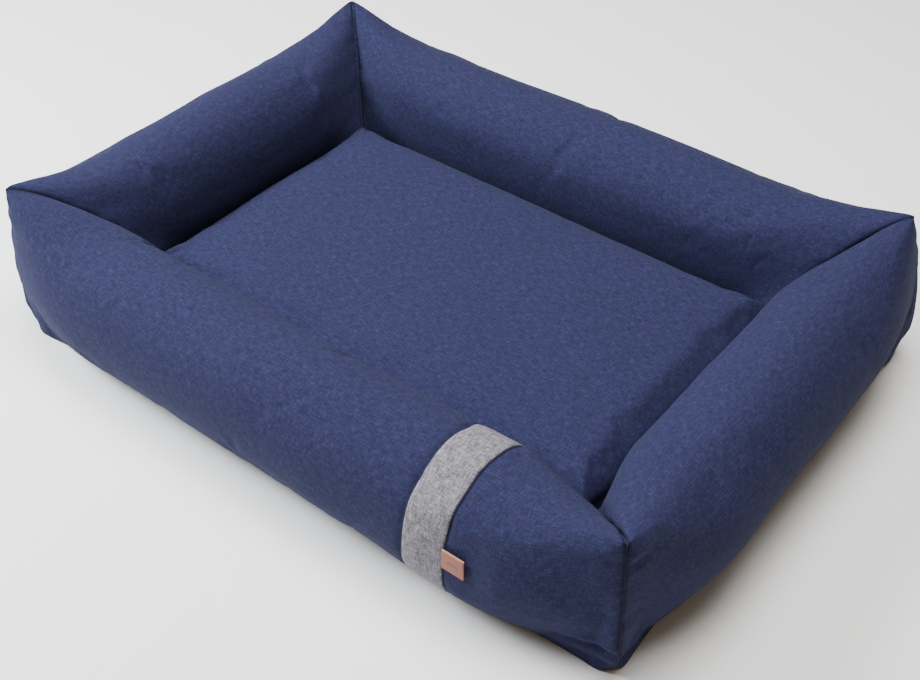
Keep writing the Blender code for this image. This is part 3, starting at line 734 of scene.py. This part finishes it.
def keep_behind_mitre(grid, side):
    """Holds a bolster on its own side of both mitre planes."""
    limit = SIDES[side][0] - grid[:, :, 1] - MITRE_GAP * math.sqrt(2)
    grid[:, :, 0] = np.clip(grid[:, :, 0], -limit, limit)
    return grid


def make_bolster(side, material):
    start = bolster_grid(side)
    columns, rows, _ = start.shape
    _, strip_first, slot_row, strip_last = section_rows(middle_section)
    xs = np.array([x for x, _ in stations(side)])
    pinned = np.zeros((columns, rows), bool)
    pinned[[0, -1], :] = True
    pinned[:, [0, -1]] = True
    near_zip = np.abs(xs) < zip_half(side) + 0.012
    pinned[np.ix_(near_zip, range(strip_first, strip_last + 1))] = True
    faces = grid_faces(columns, rows)
    points = inflate(start.reshape(-1, 3), faces, pinned.ravel(), CLOTH_GROWTH, CLOTH_CAP)
    freedom = rest_zone(start, side)[:, :, None]
    grid = start + (points.reshape(start.shape) - start) * freedom
    distance, _ = corner_distance(start, side)
    push = crease(start, side) + seam_groove(distance, SEAM_GROOVE_DEPTH, SEAM_GROOVE)
    if side == "front":
        for edge in (BAND_START - BAND_GROOVE, BAND_END + BAND_GROOVE):
            push += seam_groove(start[:, :, 0] - edge, BAND_GROOVE_DEPTH, BAND_GROOVE)
    grid = grid + normals_of(grid) * (push * rest_zone(start, side))[:, :, None]
    grid = keep_behind_mitre(grid, side)
    grid[:, :, 2] = np.maximum(grid[:, :, 2], FLOOR)

    slot_left = int(np.argmin(np.abs(xs + zip_half(side))))
    slot_right = int(np.argmin(np.abs(xs - zip_half(side))))
    faces = grid_faces(columns, rows, lambda i, j: j == slot_row and slot_left <= i < slot_right)
    world = lean_corners(place_points(grid.reshape(-1, 3), side_matrix(side)))
    cover = new_object(f"{side}_cover", world, faces, material)
    lay_uv(cover, grid_uv(start, offset=SIDES[side][2]))
    shade_seams(cover, start, side)
    smooth_finish(cover)
    node = f"{side}_bolster"
    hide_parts(f"{node}_cover", f"{node}_inner_bag", f"{node}_filling")
    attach(cover, "bed")
    return grid


def place_points(points, matrix):
    m = np.array(matrix)
    return points @ m[:3, :3].T + m[:3, 3]


def lean_corners(points):
    """Pushes the foot of each corner to where it has settled; the tips stay."""
    moved = points.copy()
    for corner, push in LEAN.items():
        y_sign, x_sign = (1 if word in ("back", "right") else -1 for word in corner.split("_"))
        away = np.hypot(points[:, 0] - x_sign * LONG_HALF, points[:, 1] - y_sign * SHORT_HALF)
        near = np.clip(1 - away / LEAN_REACH, 0.0, 1.0)
        low = np.clip(1 - (points[:, 2] - FLOOR) / (CORNER_HEIGHT - FLOOR), 0.0, 1.0)
        moved[:, :2] += np.outer(near * near * (3 - 2 * near) * low, push)
    return moved


def make_seam(corner, grids, material):
    """The cloth wall in a mitre: it fills the seam between two bolsters' ends."""
    first, second = CORNERS[corner]
    ends = (
        lean_corners(place_points(grids[first][-1], side_matrix(first))),
        lean_corners(place_points(grids[second][0], side_matrix(second))),
    )
    count = len(ends[0])
    faces = [tuple(range(count)), tuple(range(2 * count - 1, count - 1, -1))]
    faces += [(j, (j + 1) % count, count + (j + 1) % count, count + j) for j in range(count)]
    points = np.concatenate(ends)
    seam = new_object(f"{corner}_seam", points, faces, material)
    lay_uv(seam, [(x - y, z) for x, y, z in points])
    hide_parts(f"{corner}_partition")
    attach(seam, "bed")


def make_underside(grids, material):
    """The panel that closes the bed from below, cut along the bolsters' own feet."""
    feet = [place_points(grids[side][:, 0], side_matrix(side)) for side in SIDES]
    outline = lean_corners(np.concatenate(feet))
    outline[:, :2] *= 0.998
    count = len(outline)
    points = np.concatenate([outline, outline])
    points[:count, 2] = 0.0
    points[count:, 2] = FLOOR - 0.0003
    faces = [tuple(range(count))[::-1], tuple(range(count, 2 * count))]
    faces += [(j, (j + 1) % count, count + (j + 1) % count, count + j) for j in range(count)]
    panel = new_object("underside", points, faces, material)
    lay_uv(panel, points[:, :2])
    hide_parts("base_panel")
    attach(panel, "bed")


def make_band(grid, material):
    """The ribbon: the front bolster's own surface between the band's edges, raised a little."""
    xs = np.array([x for x, _ in stations("front")])
    inside = np.flatnonzero((xs > BAND_START - 1e-6) & (xs < BAND_END + 1e-6))
    part = grid[inside]
    normal = normals_of(part)
    face = part + normal * BAND_THICKNESS
    columns, rows, _ = part.shape
    rows -= 1
    under = part - normal * BAND_SUNK
    points = np.concatenate([layer[:, 1:rows + 1].reshape(-1, 3) for layer in (face, under)])
    faces = grid_faces(columns, rows)
    back = columns * rows
    for j in range(rows - 1):
        last = (columns - 1) * rows + j
        faces.append((j, j + 1, back + j + 1, back + j))
        faces.append((last + 1, last, back + last, back + last + 1))
    band = new_object("grey_band", place_points(points, side_matrix("front")), faces, material)
    uv = grid_uv(part[:, 1:rows + 1])
    lay_uv(band, np.concatenate([uv, uv])[:, ::-1])
    smooth_finish(band)
    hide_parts("front_band")
    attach(band, "bed")


# ---------------------------------------------------------------- cushion


# The cushion's edge as (inset, height): from its widest line over the top, and from it down to the base.
CUSHION_UPPER_EDGE = (
    (0.0, 0.047), (0.0002, 0.063), (0.0030, 0.078), (0.011, 0.088), (0.025, 0.0945), (0.050, 0.0985),
    (0.090, 0.1010), (0.140, 0.1025),
)
CUSHION_UNDER_EDGE = ((0.030, 0.0012), (0.060, 0.0))
SLOT_RING = 2


def resample(line):
    """Points about one cell apart along the line that joins the given ones."""
    line = np.array(line)
    lengths = np.concatenate([[0.0], np.cumsum(np.linalg.norm(np.diff(line, axis=0), axis=1))])
    count = max(3, round(lengths[-1] / CELL) + 1)
    at = np.linspace(0.0, lengths[-1], count)
    return np.column_stack([np.interp(at, lengths, line[:, k]) for k in range(2)])


def cushion_lower_line():
    """The lower edge, with a point at each lip of the zip's slot; the slot lies after SLOT_RING."""
    top, foot = np.array(CUSHION_ZIP_TOP), np.array(CUSHION_ZIP_FOOT)
    share = ZIP_SLOT / np.linalg.norm(top - foot) / 2
    panel = [top + (foot - top) * s for s in (0.0, 0.5 - share, 0.5 + share, 1.0)]
    return np.array([CUSHION_UPPER_EDGE[0], *panel, *CUSHION_UNDER_EDGE])


def cushion_sheet(line, nx, ny):
    """One face of the cushion as a grid: line gives (inset, height) from the rim inwards."""
    def axis(half, count):
        rim = [(-half + q) for q, _ in line]
        middle = list(np.linspace(rim[-1], -rim[-1], count - 2 * len(line) + 2)[1:-1])
        return np.array(rim + middle + [-x for x in rim[::-1]])

    xs, ys = axis(CUSHION_HALF[0], nx), axis(CUSHION_HALF[1], ny)
    heights = np.array([z for _, z in line])
    points = np.empty((len(xs), len(ys), 3))
    for i, x in enumerate(xs):
        for j, y in enumerate(ys):
            ring = min(i, j, len(xs) - 1 - i, len(ys) - 1 - j)
            height = heights[min(ring, len(heights) - 1)]
            points[i, j] = (x, y, height)
    return points


def sheet_uv(grid):
    """Metres over one face of the cushion, measured outwards from its two middle lines."""
    def from_middle(lengths):
        far = np.concatenate([np.zeros((1, lengths.shape[1])), np.cumsum(lengths, axis=0)])
        return far - far[len(far) // 2]

    u = from_middle(np.linalg.norm(np.diff(grid, axis=0), axis=2))
    v = from_middle(np.linalg.norm(np.diff(grid, axis=1), axis=2).T).T
    return np.stack([u, v], axis=-1).reshape(-1, 2)


def cut_corner(points):
    """Draws the four corners in along their diagonals, as the recess does between its mitres."""
    for sx in (-1, 1):
        for sy in (-1, 1):
            dx = CUSHION_HALF[0] - sx * points[:, 0]
            dy = CUSHION_HALF[1] - sy * points[:, 1]
            low = 1 - 0.85 * np.clip((points[:, 2] - 0.030) / 0.050, 0.0, 1.0)
            pull = np.maximum(0.0, 1 - (dx + dy) / CUSHION_CORNER_REACH) * CUSHION_CORNER_CUT * low
            points[:, 0] -= sx * pull
            points[:, 1] -= sy * pull
    return points


def press_against(points, neighbours, gap):
    """Moves points that reach within gap of the neighbours' surfaces back out of them."""
    vertices, faces = [], []
    for grid, matrix in neighbours:
        columns, rows, _ = grid.shape
        faces += [tuple(len(vertices) + k for k in face[::-1]) for face in grid_faces(columns, rows)]
        vertices += place_points(grid.reshape(-1, 3), matrix).tolist()
    tree = BVHTree.FromPolygons(vertices, faces)
    for k, point in enumerate(points):
        near, _, _, far = tree.find_nearest(Vector(point), 0.02)
        if near is None:
            continue
        inwards = Vector((-near.x, -near.y, 0.0)).normalized()
        side = (Vector(point) - near).dot(inwards)
        if side < gap and far < 0.02:
            points[k] = point + np.array(inwards) * (gap - side)
    return points


def make_cushion(material, bolsters):
    nx = round(2 * CUSHION_HALF[0] / CELL / 1.05)
    ny = round(2 * CUSHION_HALF[1] / CELL / 1.05)
    top = cushion_sheet(resample(CUSHION_UPPER_EDGE), nx, ny)
    bottom = cushion_sheet(cushion_lower_line(), nx, ny)
    columns, rows, _ = top.shape
    slot_row = rows - 2 - SLOT_RING
    open_columns = np.abs(bottom[:, rows // 2, 0]) < CUSHION_ZIP_HALF + CELL / 2

    def in_slot(i, j):
        return j == slot_row and open_columns[i] and open_columns[i + 1]

    swell_x, swell_y = (np.cos(np.linspace(-1, 1, n) * math.pi / 2) for n in (columns, rows))
    top[:, :, 2] += np.outer(swell_x, swell_y) * CUSHION_CROWN
    points = np.concatenate([top.reshape(-1, 3), bottom.reshape(-1, 3)])
    count = columns * rows
    faces = grid_faces(columns, rows)
    faces += [tuple(count + k for k in face[::-1]) for face in grid_faces(columns, rows, in_slot)]
    uv = np.concatenate([sheet_uv(top), sheet_uv(bottom)])[[k for face in faces for k in face]]
    index = np.arange(count).reshape(columns, rows)
    rim = {*index[[0, -1]].ravel().tolist(), *index[:, [0, -1]].ravel().tolist()}
    same = {count + k: k for k in rim}
    faces = [tuple(same.get(k, k) for k in face) for face in faces]
    used = sorted({k for face in faces for k in face})
    number = {k: n for n, k in enumerate(used)}
    faces = [tuple(number[k] for k in face) for face in faces]
    points = cut_corner(points[used])
    points[:, 2] += FLOOR
    low = points[:, 2] < FLOOR + CUSHION_HELD_HEIGHT
    points = inflate(points, faces, low, CUSHION_GROWTH, CUSHION_CAP)
    slow = soft_noise(points, (6.5, 7.5, 1.0), 91.0)
    fine = soft_noise(points, (21.0, 17.0, 1.0), 17.0)
    upper_side = np.clip((points[:, 2] - 0.06) / 0.03, 0.0, 1.0)
    points[:, 2] += upper_side * (0.0032 * slow + 0.0010 * fine)
    points[:, 2] = np.maximum(points[:, 2], FLOOR)
    points = press_against(points, [(bolsters[side], side_matrix(side)) for side in SIDES], CUSHION_GAP)
    cushion = new_object("cushion_pillow", points, faces, material)
    lay_corner_uv(cushion, uv)
    smooth_finish(cushion)
    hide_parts("cushion_cover", "cushion_inner_bag", "cushion_filling")
    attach(cushion, "cushion")


# ---------------------------------------------------------------- leather tag


def make_tag(material):
    """A strap folded into a hairpin, standing on the hinge line of its seam."""
    reach = TAG_LENGTH - 2 * TAG_FOLD_RADIUS
    turns = [math.pi / 2 + math.pi * s / 12 for s in range(13)]

    def hairpin(radius):
        left = [(radius * math.cos(t), radius * math.sin(t)) for t in turns]
        return left + [(reach - u, -v) for u, v in left]

    outer, inner = hairpin(TAG_FOLD_RADIUS), hairpin(TAG_FOLD_RADIUS - TAG_LEATHER)
    heights = (0.0, 0.0003, TAG_HEIGHT - 0.0003, TAG_HEIGHT)
    shrink = (0.0003, 0.0, 0.0, 0.0003)
    count = len(outer)
    low = Vector(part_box("leather_tag")[0])
    origin = low + Vector((TAG_FOLD_RADIUS, TAG_FOLD_RADIUS, 0.0))
    points = []
    for height, less in zip(heights, shrink):
        scale = 1 - less / TAG_FOLD_RADIUS
        points += [origin + Vector((u, v * scale, height)) for u, v in outer]
    for height in (heights[-1], heights[0]):
        points += [origin + Vector((u, v, height)) for u, v in inner]
    rings = len(points) // count
    faces = []
    for r in range(rings):
        for k in range(count):
            n = (k + 1) % count
            s = (r + 1) % rings
            faces.append((r * count + k, r * count + n, s * count + n, s * count + k))
    tag = new_object("tan_tag", points, faces, material)
    lay_uv(tag, [(x - low.x, z - low.z) for x, _, z in points])
    edge = tag.data.attributes.new("cut_edge", "FLOAT", "POINT")
    cut_rings = (0, 3, 4, 5)
    edge.data.foreach_set("value", [float(r in cut_rings) for r in range(rings) for _ in range(count)])
    tag.data.shade_smooth()
    tag.data.set_sharp_from_angle(angle=math.radians(40))
    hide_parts("leather_tag")
    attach(tag, "leather_tag")


# ---------------------------------------------------------------- the whole bed


def repaint_cad(finishes):
    for name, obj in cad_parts.items():
        for key, finish in finishes.items():
            if key in name:
                obj.data.materials.clear()
                obj.data.materials.append(finish)


def main():
    set_camera()
    set_light()
    make_floor()
    navy = navy_canvas()
    grids = {side: make_bolster(side, navy) for side in SIDES}
    for corner in CORNERS:
        make_seam(corner, grids, navy)
    make_underside(grids, grip_cloth())
    make_band(grids["front"], grey_melange())
    make_cushion(navy, grids)
    make_tag(tan_leather())
    metal = nickel()
    repaint_cad({
        "tape": zip_tape_cloth(),
        "chain": coil_plastic(),
        "zip_slider": metal,
        "zip_pull": metal,
    })


main()
